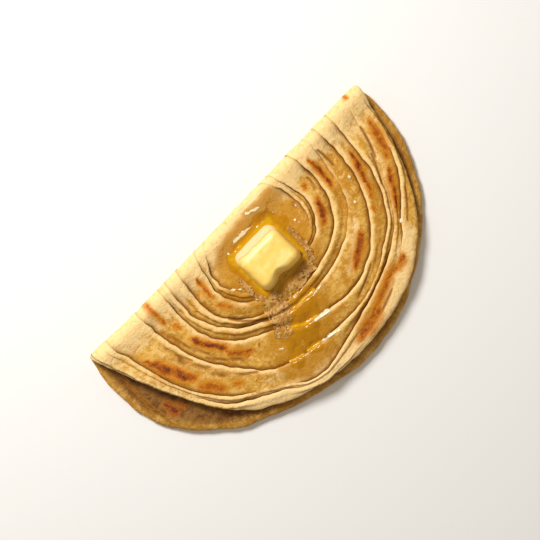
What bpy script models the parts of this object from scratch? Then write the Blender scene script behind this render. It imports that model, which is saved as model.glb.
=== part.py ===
# Paratha flatbread: one round layered bread folded in half, a pat of butter on it.
# X runs along the fold, +Y points from the curved rim to the fold, +Z is up.
# Lengths below are in millimetres and angles in degrees; the meshes are in metres.
import math

import bmesh
import bpy
import numpy as np

MILLIMETRE = 0.001

# The sheet of bread, before folding a round sheet about 205 mm across.
SHEET_THICKNESS = 4.5
# Reach of the rim from the middle of the fold every 15 degrees, starting at the
# +X tip: the upper flap to 180, then back under it round the lower flap.
RIM_REACH = (
    101.0, 98.6, 100.3, 103.0, 104.0, 102.5, 101.4, 101.2,
    102.2, 101.0, 97.0, 97.4, 102.5, 110.5, 116.0, 112.5,
    107.5, 105.5, 106.7, 107.0, 106.0, 106.7, 106.2, 104.5,
)

# The fold: radius of the bend at mid thickness, and how far the flaps stand apart.
BEND_RADIUS = 4.0
FLAP_GAP = 0.6
SAG_START = 4.0
SAG_END = 18.0
# Towards the -X tip the fold opens and the upper flap stands clear of the lower.
OPEN_START = 70.0
OPEN_END = 100.0
OPEN_BEND_EXTRA = 1.6
OPEN_GAP_EXTRA = 3.4

# The coiled layers: each crease is a ring about a centre set off from the fold.
# Radius every 30 degrees and depth every 30 degrees, innermost ring first.
COIL_CENTRE = (7.0, 22.0)
COIL_FULL_RADIUS = 101.0
CREASES = (
    {"radius": (33.0, 36.1, 32.6, 34.0, 36.0, 37.8, 33.0, 30.0, 29.0, 29.0, 29.0, 31.0),
     "depth": (1.0, 1.0, 0.8, 0.5, 0.6, 1.0, 1.0, 0.6, 0.5, 0.5, 0.5, 0.6)},
    {"radius": (46.4, 48.6, 45.5, 43.5, 45.0, 48.5, 44.0, 42.0, 41.0, 41.0, 42.0, 44.0),
     "depth": (1.5, 1.5, 1.2, 0.7, 0.7, 1.5, 1.4, 0.7, 0.5, 0.5, 0.5, 0.8)},
    {"radius": (57.0, 58.2, 53.4, 50.2, 51.2, 54.2, 51.0, 49.0, 50.0, 51.0, 52.0, 54.0),
     "depth": (0.7, 0.6, 0.9, 1.2, 1.2, 1.1, 1.0, 0.6, 0.5, 0.5, 0.5, 0.5)},
    {"radius": (66.2, 70.1, 73.0, 65.5, 57.8, 60.4, 56.6, 56.0, 58.0, 60.0, 60.0, 61.5),
     "depth": (1.5, 1.5, 1.3, 1.3, 1.2, 1.1, 1.0, 0.6, 0.5, 0.5, 0.5, 0.8)},
    {"radius": (76.0, 80.6, 81.4, 78.4, 80.5, 73.7, 71.0, 70.0, 70.0, 70.0, 70.0, 72.0),
     "depth": (1.2, 1.0, 0.7, 1.2, 1.3, 1.2, 1.1, 0.6, 0.5, 0.5, 0.5, 0.7)},
    {"radius": (88.0, 87.6, 87.2, 88.5, 95.0, 92.0, 90.5, 89.0, 88.0, 88.0, 88.0, 88.0),
     "depth": (0.4, 0.6, 1.3, 1.4, 1.2, 1.1, 1.0, 0.6, 0.5, 0.5, 0.5, 0.4)},
)
# Section of one crease: offset from its radius and height as a share of its depth.
CREASE_SECTION = (
    (-2.2, -0.42),
    (0.25, -1.00),
    (0.0, 0.05),
    (1.1, 0.42),
)
CREASE_DEPTH_SCALE = 1.35
BAND_RISE = 0.12

# The rim is rounded off between these distances from its edge.
RIM_SECTION = (
    (2.4, 0.92),
    (0.7, 0.62),
    (0.0, 0.0),
    (0.8, -0.66),
)

# Mesh fineness: rows inside the first crease and on the inner faces of the flaps,
# as shares of the reach, and the number of spokes, crowded together at the fold.
SPOKES = 96
SPOKE_CROWDING = 0.8
HEART_ROWS = (0.05, 0.10, 0.16, 0.25, 0.40, 0.60, 0.80)
INNER_FACE_ROWS = (0.94, 0.78, 0.56, 0.36, 0.20, 0.10, 0.04)

# The butter pat: footprint measured along and across the fold.
BUTTER_ALONG = (-12.5, 16.5)
BUTTER_ACROSS = (17.0, 44.0)
BUTTER_HEIGHT = 10.5
BUTTER_CORNER = 3.6
BUTTER_CUTS = 7
BUTTER_FLARE = 1.3
BUTTER_FOLD_FLARE = 4.2
BUTTER_NOTCH_DEPTH = 4.0
BUTTER_NOTCH_WIDTH = 4.5
BUTTER_NOTCH_ALONG = 0.5
BUTTER_LIFT = 0.3
SEAT_MARGIN = 1.5
SEAT_BLEND = 5.0


def smooth_step(value):
    value = np.clip(value, 0.0, 1.0)
    return value * value * (3.0 - 2.0 * value)


def around(stations, angles):
    # Smooth closed curve through equally spaced stations.
    stations = np.asarray(stations, dtype=float)
    count = len(stations)
    place = (np.asarray(angles) / (2.0 * math.pi) % 1.0) * count
    index = np.floor(place).astype(int)
    part = place - index
    before, here, after, beyond = (stations[(index + step) % count] for step in (-1, 0, 1, 2))
    bend = 2.0 * before - 5.0 * here + 4.0 * after - beyond
    twist = 3.0 * (here - after) + beyond - before
    return here + 0.5 * part * (after - before + part * (bend + part * twist))


def spoke_angles():
    steps = np.arange(SPOKES) * 2.0 * math.pi / SPOKES
    return steps - 0.5 * SPOKE_CROWDING * np.sin(2.0 * steps)


def ring_row(radii, heights, ring_angles):
    # One row of the sheet that follows a coil ring, read off along the spokes.
    drift = 1.0 - radii / COIL_FULL_RADIUS
    along = COIL_CENTRE[0] * drift + radii * np.cos(ring_angles)
    across = COIL_CENTRE[1] * drift + radii * np.sin(ring_angles)
    bearing = np.arctan2(across, along)
    reach = np.hypot(along, across)
    spokes = spoke_angles()
    return (
        np.interp(spokes, bearing, reach, period=2.0 * math.pi),
        np.interp(spokes, bearing, heights, period=2.0 * math.pi),
    )


def sheet_rows():
    # Rows from the middle of the outer face, over the rim, to the middle of the
    # inner face; each row is the reach and the height above mid thickness.
    half = SHEET_THICKNESS / 2.0
    ring_angles = np.linspace(0.0, 2.0 * math.pi, 720, endpoint=False)
    radii = [around(crease["radius"], ring_angles) for crease in CREASES]
    depths = [around(crease["depth"], ring_angles) * CREASE_DEPTH_SCALE for crease in CREASES]
    rows = []
    first_reach, first_height = ring_row(radii[0], depths[0], ring_angles)
    for share in HEART_ROWS:
        rows.append((first_reach * share, np.full(SPOKES, half + BAND_RISE)))
    for number, (radius, depth) in enumerate(zip(radii, depths)):
        for offset, share in CREASE_SECTION:
            rows.append(ring_row(radius + offset, half + depth * share, ring_angles))
        if number + 1 < len(radii):
            middle = (radius + radii[number + 1]) / 2.0
            level = np.full(len(ring_angles), half + BAND_RISE)
            rows.append(ring_row(middle, level, ring_angles))
    rim = around(RIM_REACH, spoke_angles())
    for inset, share in RIM_SECTION:
        rows.append((rim - inset, np.full(SPOKES, half * share)))
    for share in INNER_FACE_ROWS:
        rows.append((rim * share, np.full(SPOKES, -half)))
    return rows


def opening(along):
    return smooth_step((-along - OPEN_START) / (OPEN_END - OPEN_START))


def seat_level():
    return 2.0 * SHEET_THICKNESS + FLAP_GAP


def on_seat(along, across):
    # One under the butter, falling to nought a little way outside it.
    out_along = max(BUTTER_ALONG[0] - along, along - BUTTER_ALONG[1], 0.0)
    out_across = max(BUTTER_ACROSS[0] - across, across - BUTTER_ACROSS[1], 0.0)
    outside = math.hypot(out_along, out_across) - SEAT_MARGIN
    return 1.0 - smooth_step(outside / SEAT_BLEND)


def fold_over(along, across, height):
    # Carries a point of the flat sheet round the bend; across is positive on the
    # upper flap, and height is measured outwards from mid thickness.
    open_share = opening(along)
    bend = BEND_RADIUS + OPEN_BEND_EXTRA * open_share
    gap = FLAP_GAP + OPEN_GAP_EXTRA * open_share
    axis_height = SHEET_THICKNESS / 2.0 + bend
    flat_part = abs(across) - math.pi * bend / 2.0
    if flat_part <= 0.0:
        turn = across / bend
        y = (bend + height) * math.cos(turn)
        z = axis_height + (bend + height) * math.sin(turn)
    else:
        y = -flat_part
        z = axis_height + math.copysign(bend + height, across)
    if across > 0.0:
        drop = 2.0 * bend - SHEET_THICKNESS - gap
        z -= drop * smooth_step((across - SAG_START) / (SAG_END - SAG_START))
        if height > 0.0:
            z += (seat_level() - z) * on_seat(along, -y + BEND_RADIUS + SHEET_THICKNESS / 2.0)
    return along, y, max(z, 0.0)


def build_bread():
    rows = sheet_rows()
    spokes = spoke_angles()
    shape = bmesh.new()
    bands = len(rows) + 1
    bmesh.ops.create_uvsphere(shape, u_segments=SPOKES, v_segments=bands, radius=1.0)
    half = SHEET_THICKNESS / 2.0
    for vertex in shape.verts:
        x, y, z = vertex.co
        row = round(math.acos(max(-1.0, min(1.0, z))) * bands / math.pi)
        if row == 0:
            place = fold_over(0.0, 0.0, half + BAND_RISE)
        elif row == bands:
            place = fold_over(0.0, 0.0, -half)
        else:
            spoke = round(math.atan2(y, x) * SPOKES / (2.0 * math.pi)) % SPOKES
            reach, height = rows[row - 1][0][spoke], rows[row - 1][1][spoke]
            angle = spokes[spoke]
            place = fold_over(reach * math.cos(angle), reach * math.sin(angle), height)
        vertex.co = place
    # Folding towards -Y mirrors the sheet, so its faces are turned back out.
    bmesh.ops.reverse_faces(shape, faces=shape.faces)
    return shape


def build_butter():
    # A slab with rounded corners, its foot spread by melting, most on the fold side.
    shape = bmesh.new()
    bmesh.ops.create_cube(shape, size=2.0)
    bmesh.ops.subdivide_edges(shape, edges=shape.edges, cuts=BUTTER_CUTS, use_grid_fill=True)
    half = (
        (BUTTER_ALONG[1] - BUTTER_ALONG[0]) / 2.0 - BUTTER_FLARE,
        (BUTTER_ACROSS[1] - BUTTER_ACROSS[0]) / 2.0 - (BUTTER_FLARE + BUTTER_FOLD_FLARE) / 2.0,
        BUTTER_HEIGHT / 2.0,
    )
    foot_shift = (BUTTER_FOLD_FLARE - BUTTER_FLARE) / 2.0
    centre_along = sum(BUTTER_ALONG) / 2.0
    centre_y = BEND_RADIUS + SHEET_THICKNESS / 2.0 - sum(BUTTER_ACROSS) / 2.0
    bottom = seat_level() + BUTTER_LIFT
    for vertex in shape.verts:
        point = [vertex.co[axis] * half[axis] for axis in range(3)]
        core = [max(-half[axis] + BUTTER_CORNER, min(half[axis] - BUTTER_CORNER, point[axis]))
                for axis in range(3)]
        away = [point[axis] - core[axis] for axis in range(3)]
        length = math.sqrt(sum(part * part for part in away))
        if length > 0.0:
            point = [core[axis] + away[axis] * BUTTER_CORNER / length for axis in range(3)]
        x, y, z = point
        low = smooth_step(0.5 - 0.5 * z / half[2])
        spread = low * low
        x += BUTTER_FLARE * spread * x / half[0]
        y_share = y / half[1]
        y += (BUTTER_FOLD_FLARE if y > 0.0 else BUTTER_FLARE) * spread * y_share
        notch = math.exp(-((x + centre_along - BUTTER_NOTCH_ALONG) / BUTTER_NOTCH_WIDTH) ** 2)
        y += BUTTER_NOTCH_DEPTH * notch * max(-y_share, 0.0) ** 2
        vertex.co = (x + centre_along, y + centre_y - foot_shift, z + half[2] + bottom)
    bmesh.ops.recalc_face_normals(shape, faces=shape.faces)
    return shape


def clay(name, colour, roughness):
    material = bpy.data.materials.new(name)
    material.use_nodes = True
    surface = next(node for node in material.node_tree.nodes if node.type == "BSDF_PRINCIPLED")
    surface.inputs["Base Color"].default_value = (*colour, 1.0)
    surface.inputs["Roughness"].default_value = roughness
    material.diffuse_color = (*colour, 1.0)
    return material


def add_node(name, shape, offset, material):
    for vertex in shape.verts:
        vertex.co = (vertex.co - offset) * MILLIMETRE
    mesh = bpy.data.meshes.new(name)
    shape.to_mesh(mesh)
    shape.free()
    mesh.materials.append(material)
    node = bpy.data.objects.new(name, mesh)
    bpy.context.scene.collection.objects.link(node)
    return node


def bottom_centre(shapes):
    corners = [vertex.co.copy() for shape in shapes for vertex in shape.verts]
    offset = corners[0].copy()
    for axis in range(2):
        values = [corner[axis] for corner in corners]
        offset[axis] = (min(values) + max(values)) / 2.0
    offset[2] = min(corner[2] for corner in corners)
    return offset


for item in list(bpy.data.objects):
    bpy.data.objects.remove(item, do_unlink=True)

bread = build_bread()
butter = build_butter()
origin = bottom_centre((bread, butter))
add_node("paratha", bread, origin, clay("baked_dough", (0.66, 0.40, 0.15), 0.75))
add_node("butter_pat", butter, origin, clay("butter", (0.94, 0.72, 0.26), 0.35))
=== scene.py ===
import math
import random
import bmesh
import bpy
import numpy as np
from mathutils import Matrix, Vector, noise
from mathutils.bvhtree import BVHTree


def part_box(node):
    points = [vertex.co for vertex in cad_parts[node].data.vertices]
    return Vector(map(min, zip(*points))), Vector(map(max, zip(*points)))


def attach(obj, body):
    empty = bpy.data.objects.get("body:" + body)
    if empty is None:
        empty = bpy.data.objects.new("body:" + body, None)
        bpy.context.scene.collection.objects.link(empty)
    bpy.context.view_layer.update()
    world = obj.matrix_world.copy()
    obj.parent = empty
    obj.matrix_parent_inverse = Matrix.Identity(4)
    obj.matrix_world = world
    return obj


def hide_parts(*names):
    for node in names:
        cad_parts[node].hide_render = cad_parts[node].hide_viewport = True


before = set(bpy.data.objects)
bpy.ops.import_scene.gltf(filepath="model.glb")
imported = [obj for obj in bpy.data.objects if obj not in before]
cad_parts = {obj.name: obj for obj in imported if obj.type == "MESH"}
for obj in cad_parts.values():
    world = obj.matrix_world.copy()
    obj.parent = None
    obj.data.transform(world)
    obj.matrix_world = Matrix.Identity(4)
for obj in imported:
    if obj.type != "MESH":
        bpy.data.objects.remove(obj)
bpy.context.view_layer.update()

mm = 0.001

# The bread: one round sheet folded over, sizes in mm and degrees.
bread = {
    "spokes": 480, "crowding": 0.6,  # spokes gather where the fold is
    "thickness": 4.5, "bend": 4.0, "gap": 0.6,
    "sagFrom": 4.0, "sagTo": 18.0,
    "openFrom": 70.0, "openTo": 100.0, "openBend": 1.6, "openGap": 3.4,  # the open -X tip
    "coilCentre": (7.0, 22.0), "coilReach": 101.0, "coilHeart": 27.0,
    "seat": ((-12.5, 16.5), (17.0, 44.0)), "seatMargin": 1.5, "seatBlend": 5.0,  # for the butter
    "rim": (101.0, 98.6, 100.3, 103.0, 104.0, 102.5, 101.4, 101.2, 102.2, 101.0, 97.0, 97.4,
            102.5, 110.5, 116.0, 112.5, 107.5, 105.5, 106.7, 107.0, 106.0, 106.7, 106.2, 104.5),
    "depthScale": 1.4, "fullDepth": 1.15,  # a crease deeper than this is fully shaded
    "fullBand": 6.6, "leastBand": 1.8, "innerBand": 9.0, "outerBand": 7.0,  # room between creases
    "heartRows": 12, "bandRows": 4, "bandSwell": 0.12, "rimRows": 4, "innerRows": 34, "innerCrowding": 1.7,
    "rimTurns": 9, "rimBend": 1.9, "rimHeight": 0.9, "rimShoulder": 0.92, "crown": 0.12,
    "bendFlat": 4.5, "bendBlend": 10.0,  # relief fades towards the bend of the fold
    # smooth randomness is a list of how much, over what length, and a seed
    "uneven": ((0.16, 13.0, 3), (0.10, 5.0, 4), (0.05, 2.2, 5)), "innerUneven": 0.35,
    "rimWander": ((0.5, 11.0, 60), (0.25, 4.0, 61)),
    "spotTurn": ((1.6, 5.0, 8),), "spotWander": ((0.7, 5.0, 9), (0.5, 2.4, 10)),
    "lowerTurn": ((0.8, 5.0, 12),), "lowerWander": ((0.6, 4.0, 13),),
    "paleFold": 9.0, "paleBlend": 14.0, "paleWander": ((3.0, 14.0, 11),),
    "markEdge": -30.0,  # the crust's marks end here, under the fold
    "wetReach": 8.0, "wetWander": ((2.0, 6.0, 51),),
    "grainRadius": 70.0,  # turns a coil angle into a length for the grain of the leaves
}

# Every crease is a ring of the coil: radius and depth every 15 degrees from the +X tip,
# round the upper flap to 180 and back along the lower flap. Innermost first.
creases = [
    {"radius": (29.0, 31.0, 32.4, 31.0, 28.0, 27.0, 27.0, 28.0, 30.0, 31.5, 32.3, 32.6,
                30.5, 28.0, 26.0, 25.0, 24.5, 24.5, 24.5, 25.0, 25.0, 26.0, 27.0, 28.0),
     "depth": (0.8, 0.7, 0.4, 0.1, 0.1, 0.1, 0.1, 0.1, 0.1, 0.2, 0.5, 0.7,
               0.7, 0.5, 0.4, 0.3, 0.3, 0.3, 0.3, 0.3, 0.3, 0.4, 0.5, 0.7)},
    {"radius": (33.0, 34.9, 36.1, 36.1, 32.6, 31.0, 32.0, 34.0, 36.0, 37.3, 37.8, 36.1,
                33.0, 32.0, 31.0, 30.0, 29.5, 29.0, 29.0, 29.0, 29.5, 30.0, 31.0, 32.0),
     "depth": (1.0, 1.0, 1.0, 0.9, 0.7, 0.4, 0.3, 0.3, 0.5, 0.9, 1.0, 1.0,
               0.9, 0.7, 0.6, 0.5, 0.5, 0.5, 0.5, 0.5, 0.5, 0.6, 0.7, 0.9)},
    {"radius": (46.4, 47.8, 48.6, 48.2, 45.5, 42.8, 42.5, 44.0, 45.5, 47.2, 48.5, 46.3,
                43.8, 43.0, 42.0, 41.5, 41.0, 41.0, 41.0, 41.0, 42.0, 43.0, 44.0, 45.4),
     "depth": (1.6, 1.6, 1.5, 1.4, 1.2, 0.9, 0.6, 0.6, 0.8, 1.3, 1.5, 1.4,
               1.2, 0.9, 0.7, 0.5, 0.5, 0.5, 0.5, 0.5, 0.6, 0.8, 1.1, 1.4)},
    {"radius": (57.8, 57.0, 58.2, 57.2, 53.5, 51.0, 50.0, 50.0, 50.6, 52.5, 54.0, 53.3,
                51.0, 50.0, 49.5, 50.0, 50.5, 51.0, 51.0, 51.5, 52.0, 53.0, 54.0, 56.5),
     "depth": (0.5, 0.4, 0.4, 0.4, 0.8, 1.1, 1.2, 1.0, 1.2, 1.2, 1.1, 1.0,
               0.9, 0.8, 0.6, 0.5, 0.5, 0.5, 0.5, 0.5, 0.5, 0.5, 0.5, 0.5)},
    {"radius": (66.2, 67.9, 70.1, 72.3, 73.4, 71.3, 65.4, 61.5, 57.4, 59.7, 60.4, 58.2,
                55.5, 55.5, 56.0, 57.0, 58.0, 59.0, 60.0, 60.0, 60.0, 60.5, 61.5, 64.0),
     "depth": (1.5, 1.5, 1.5, 1.4, 1.3, 1.4, 1.4, 1.3, 1.2, 1.2, 1.1, 1.1,
               1.0, 0.8, 0.6, 0.5, 0.5, 0.5, 0.5, 0.5, 0.6, 0.8, 1.0, 1.3)},
    {"radius": (76.0, 77.0, 81.0, 83.3, 82.3, 81.5, 78.4, 79.4, 80.5, 76.4, 73.7, 71.5,
                70.5, 70.0, 70.0, 70.0, 70.0, 70.0, 70.0, 70.5, 71.0, 72.0, 73.5, 75.0),
     "depth": (1.2, 1.2, 1.1, 1.0, 0.5, 0.5, 1.2, 1.2, 1.3, 1.2, 1.2, 1.1,
               1.0, 0.8, 0.6, 0.5, 0.5, 0.5, 0.5, 0.5, 0.6, 0.7, 0.9, 1.1)},
    {"radius": (88.0, 86.0, 85.5, 88.0, 86.2, 85.0, 88.5, 96.3, 91.5, 93.3, 92.0, 89.7,
                91.0, 91.0, 90.0, 90.0, 90.0, 90.0, 90.0, 90.0, 90.0, 90.0, 89.0, 88.5),
     "depth": (0.3, 0.4, 0.2, 0.4, 1.1, 1.3, 1.3, 1.1, 0.0, 1.0, 1.1, 1.0,
               0.9, 0.6, 0.4, 0.4, 0.4, 0.4, 0.4, 0.4, 0.4, 0.4, 0.4, 0.4)},
    {"radius": (95.0, 95.0, 95.6, 93.2, 95.5, 95.5, 96.0, 99.0, 95.1, 97.4, 94.4, 94.4,
                97.5, 99.0, 99.0, 99.0, 98.0, 97.0, 97.0, 97.0, 97.0, 97.0, 97.0, 96.0),
     "depth": (0.1, 0.3, 0.9, 0.9, 0.1, 0.1, 0.1, 0.0, 1.0, 1.0, 0.0, 0.0,
               0.1, 0.2, 0.3, 0.3, 0.3, 0.3, 0.3, 0.3, 0.3, 0.3, 0.3, 0.2)},
]
# Section of a crease, going outwards: offset, height as a share of the depth, and how
# far into the crevice or onto the lip the row lies. The crevice share darkens the crust as
# painted shade; the lip share makes it paler, partly as a painted highlight.
creaseSection = [
    (-3.6, -0.34, 0.08, 0.0), (-2.4, -0.52, 0.2, 0.0), (-1.5, -0.70, 0.38, 0.0),
    (-0.8, -0.86, 0.65, 0.0), (-0.1, -0.98, 0.95, 0.0), (0.55, -1.0, 1.0, 0.0),
    (0.8, -0.8, 1.0, 0.0), (0.55, -0.55, 0.9, 0.1), (0.1, -0.32, 0.6, 0.4),
    (-0.3, -0.08, 0.2, 0.8), (-0.3, 0.16, 0.0, 1.0), (0.1, 0.36, 0.0, 1.0),
    (0.8, 0.5, 0.0, 0.9), (1.7, 0.56, 0.0, 0.6), (2.8, 0.52, 0.0, 0.3),
]
# Short nicks where one thin leaf parts from the next: from, to, radius at both ends,
# depth and width.
nicks = [
    (145, 158, 76.8, 78.0, 0.7, 1.6), (153, 176, 75.4, 74.8, 0.6, 1.6), (126, 146, 79.5, 80.7, 0.5, 1.6),
    (126, 131, 64.0, 69.4, 0.6, 1.5), (131, 148, 70.4, 72.0, 0.6, 1.5), (148, 171, 69.4, 68.2, 0.6, 1.4),
    (62, 76, 76.0, 76.6, 0.5, 1.6), (35, 46, 97.6, 96.8, 0.6, 1.4), (5, 16, 43.5, 43.2, 0.7, 1.6),
    (8, 18, 27.3, 26.8, 0.5, 1.4), (117, 146, 49.0, 47.9, 0.6, 1.5), (10, 22, 86.4, 85.0, 0.5, 1.6),
    (20, 32, 83.6, 83.0, 0.5, 1.6), (1, 13, 58.2, 60.2, 0.7, 1.6), (68, 88, 95.5, 96.5, 0.4, 1.6),
]
# Browned spots: from, to, radius at both ends, half width and darkness.
spots = [
    (12, 24, 92.3, 92.3, 2.1, 0.7), (28, 40, 89.8, 89.8, 2.1, 0.8), (15, 27, 73.0, 73.0, 2.0, 0.95),
    (28, 34, 74.5, 74.5, 1.7, 0.7), (38, 41, 75.0, 75.0, 1.6, 0.5), (49, 64, 66.0, 66.0, 2.6, 1.0),
    (0, 20, 50.5, 52.5, 1.6, 0.8), (22, 40, 41.5, 41.5, 2.1, 0.9), (5, 10, 38.6, 38.6, 1.3, 0.6),
    (58, 64, 97.0, 90.0, 3.2, 0.5), (65, 78, 90.5, 90.5, 2.6, 0.5), (77, 87, 94.0, 94.0, 3.9, 0.65),
    (138, 146, 87.7, 87.7, 2.3, 0.6), (150, 163, 85.0, 85.0, 3.0, 1.0), (158, 167, 86.5, 86.5, 1.3, 0.7),
    (132, 135, 85.0, 85.0, 1.6, 0.4), (130, 140, 67.0, 67.0, 2.0, 0.65), (141, 159, 64.5, 64.5, 2.0, 0.95),
    (167, 170, 62.0, 62.0, 1.2, 0.6), (173, 187, 64.0, 64.0, 1.3, 0.5), (148, 156, 41.5, 41.5, 1.7, 0.5),
    (165, 182, 39.5, 36.5, 1.2, 0.7), (-2, 1, 90.6, 90.6, 1.0, 0.4),
]
# The inner face of the lower flap, where it shows past the upper one: same layout, the
# radius measured from the middle of the fold.
lowerSpots = [
    (149.0, 152.5, 107.0, 104.0, 3.0, 1.0), (147.0, 149.5, 103.0, 101.0, 1.8, 0.8),
]
# Golden marks of the inner face, same layout: the small ones are the crust's own colour; the two wide ones
# in the open -X tip are a painted warm glow in its shade, and the one along the upper flap's rim on the +X
# side is painted shade.
lowerGoldens = [
    (160, 180, 96.0, 94.0, 9.0, 1.0), (150, 160, 100.0, 97.0, 5.0, 0.8), (8, 40, 100.5, 102.0, 3.0, 0.6),
    (140, 146, 108.0, 106.0, 3.0, 0.6), (20, 24, 103.0, 103.5, 2.2, 0.9), (27, 31, 104.0, 104.0, 2.0, 0.8),
]
# Paler, barely baked patches, same layout. The first, wide one along the rim is partly painted light,
# lifting the rim band that slopes away from the lamp.
creams = [
    (50, 130, 98.0, 99.0, 11.0, 1.1), (66, 76, 92.0, 96.0, 5.0, 0.9), (42, 68, 61.5, 63.5, 4.0, 0.8),
    (0, 45, 84.0, 88.0, 6.0, 0.6), (128, 180, 95.0, 97.0, 5.0, 0.7), (100, 122, 86.0, 86.0, 4.0, 0.6),
    (140, 175, 80.0, 78.0, 3.0, 0.5), (0, 30, 70.0, 73.0, 4.0, 0.5), (10, 40, 43.5, 44.5, 2.5, 0.45),
]
# Golden, oilier patches, same layout.
goldens = [
    (20, 42, 53.0, 55.5, 2.5, 0.5), (84, 92, 58.0, 58.0, 3.0, 0.7), (82, 96, 70.5, 70.5, 2.5, 0.7),
    (10, 45, 91.0, 89.0, 4.0, 0.45), (60, 100, 92.0, 93.0, 5.0, 0.3), (130, 170, 86.5, 86.5, 3.5, 0.5),
    (0, 180, 40.0, 40.0, 3.0, 0.25), (35, 65, 77.0, 77.0, 3.0, 0.35),
]
# The one crease of the inner face that shows: a step down from start to end.
lowerCrease = {"start": (178.0, 94.0), "end": (146.0, 115.5), "step": 1.1, "width": 1.2, "trough": 0.9}


def smoothStep(value):
    value = np.clip(value, 0.0, 1.0)
    return value * value * (3.0 - 2.0 * value)


def around(stations, angles):
    # smooth closed curve through equally spaced stations
    stations = np.asarray(stations, dtype=float)
    count = len(stations)
    place = (np.asarray(angles) / (2.0 * math.pi) % 1.0) * count
    index = np.floor(place).astype(int)
    part = place - index
    before, here, after, beyond = (stations[(index + step) % count] for step in (-1, 0, 1, 2))
    bend = 2.0 * before - 5.0 * here + 4.0 * after - beyond
    twist = 3.0 * (here - after) + beyond - before
    return here + 0.5 * part * (after - before + part * (bend + part * twist))


def roughness(x, y, size, seed):
    # smooth random field between about -1 and 1, the same on every run
    flat = [noise.noise((a / size, b / size, seed)) for a, b in zip(np.ravel(x), np.ravel(y))]
    return np.array(flat).reshape(np.shape(x)) * 1.6


def wander(x, y, parts):
    return sum(amount * roughness(x, y, size, seed) for amount, size, seed in parts)


def spokeAngles():
    steps = np.arange(bread["spokes"]) * 2.0 * math.pi / bread["spokes"]
    return steps - 0.5 * bread["crowding"] * np.sin(2.0 * steps)


def coilCentreAt(radius):
    # rings drift from the fold's middle at the rim towards the coil's centre, and back
    # again inside its heart
    heart, reach = bread["coilHeart"], bread["coilReach"]
    share = np.where(radius > heart, 1.0 - radius / reach, (1.0 - heart / reach) * radius / heart)
    return bread["coilCentre"][0] * share, bread["coilCentre"][1] * share


def coilPlace(along, across):
    # the coil angle in degrees and coil radius of a point of the flat sheet
    radius = np.hypot(along, across)
    for _ in range(14):  # enough for the radius and its centre to agree
        centreAlong, centreAcross = coilCentreAt(radius)
        radius = 0.5 * radius + 0.5 * np.hypot(along - centreAlong, across - centreAcross)
    angle = np.degrees(np.arctan2(across - centreAcross, along - centreAlong))
    return np.where(angle < -90.0, angle + 360.0, angle), radius


def arcMark(angle, radius, mark, soften=1.0):
    # 1 on the middle line of an arc mark, falling to 0 at its half width, which narrows
    # towards both ends
    start, end, startRadius, endRadius, halfWidth = mark[:5]
    part = np.clip((angle - start) / (end - start), 0.0, 1.0)
    beyond = np.maximum(np.maximum(start - angle, angle - end), 0.0) * np.radians(1.0) * radius
    middle = startRadius + (endRadius - startRadius) * part
    taper = 0.55 + 0.45 * np.sqrt(1.0 - (2.0 * part - 1.0) ** 2)
    away = np.hypot(radius - middle, beyond) / (halfWidth * soften * taper)
    return 1.0 - smoothStep(away)


def marked(field, shown, angle, radius, marks, soften, strength=1.0):
    # the field with a set of arc marks laid over it, each as strong as its last number says
    for mark in marks:
        patch = arcMark(angle, radius, mark, soften) * mark[5] * strength
        field = np.maximum(field, np.where(shown, patch, 0.0))
    return field


def ringRow(radius, values, ringAngles, spokes):
    # one ring about its own centre, read off along the spokes
    centreAlong, centreAcross = coilCentreAt(radius)
    along = centreAlong + radius * np.cos(ringAngles)
    across = centreAcross + radius * np.sin(ringAngles)
    bearing = np.arctan2(across, along)
    turn = 2.0 * math.pi
    reach = np.interp(spokes, bearing, np.hypot(along, across), period=turn)
    return [reach] + [np.interp(spokes, bearing, value, period=turn) for value in values]


def creaseRings(ringAngles):
    # the radius and the depth of every crease all the way round, innermost first
    radii, depths = [], []
    for number, crease in enumerate(creases):
        radius = around(crease["radius"], ringAngles)
        depth = np.maximum(around(crease["depth"], ringAngles), 0.0)
        x, y = radius * np.cos(ringAngles), radius * np.sin(ringAngles)
        radius = radius + wander(x, y, ((0.55, 9.0, number), (0.3, 3.5, number + 20)))
        depth = depth * bread["depthScale"] * (1.0 + 0.3 * roughness(x, y, 8.0, number + 40))
        if radii:
            radius = np.maximum(radius, radii[-1] + bread["leastBand"])
        radii.append(radius)
        depths.append(depth)
    return radii, depths


def creaseRows(radius, depth, inScale, outScale, ringAngles, spokes):
    half = bread["thickness"] / 2.0
    strength = smoothStep(depth / bread["fullDepth"])
    rows = []
    for offset, share, creviceShade, lip in creaseSection:
        scaled = offset * (inScale if offset < 0.0 else outScale)
        values = (half + depth * share, strength * creviceShade, strength * lip)
        rows.append(ringRow(radius + scaled, values, ringAngles, spokes))
    return rows


def bandRows(radius, depth, nextRadius, nextDepth, scale, ringAngles, spokes):
    # the slightly swollen band from one crease to the next
    start = radius + creaseSection[-1][0] * scale
    end = nextRadius + creaseSection[0][0] * scale
    startHeight, endHeight = depth * creaseSection[-1][1], nextDepth * creaseSection[0][1]
    shallow = np.minimum(depth, 1.0)
    rows = []
    for row in range(1, bread["bandRows"] + 1):
        share = row / (bread["bandRows"] + 1.0)
        swell = bread["bandSwell"] * shallow * math.sin(math.pi * share)
        height = bread["thickness"] / 2.0 + startHeight + (endHeight - startHeight) * share + swell
        # the lip's paleness fades across the band; it is partly a painted highlight
        values = (height, np.zeros(len(ringAngles)), shallow * 0.3 * (1.0 - share) ** 2)
        rows.append(ringRow(start + (end - start) * share, values, ringAngles, spokes))
    return rows


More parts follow.
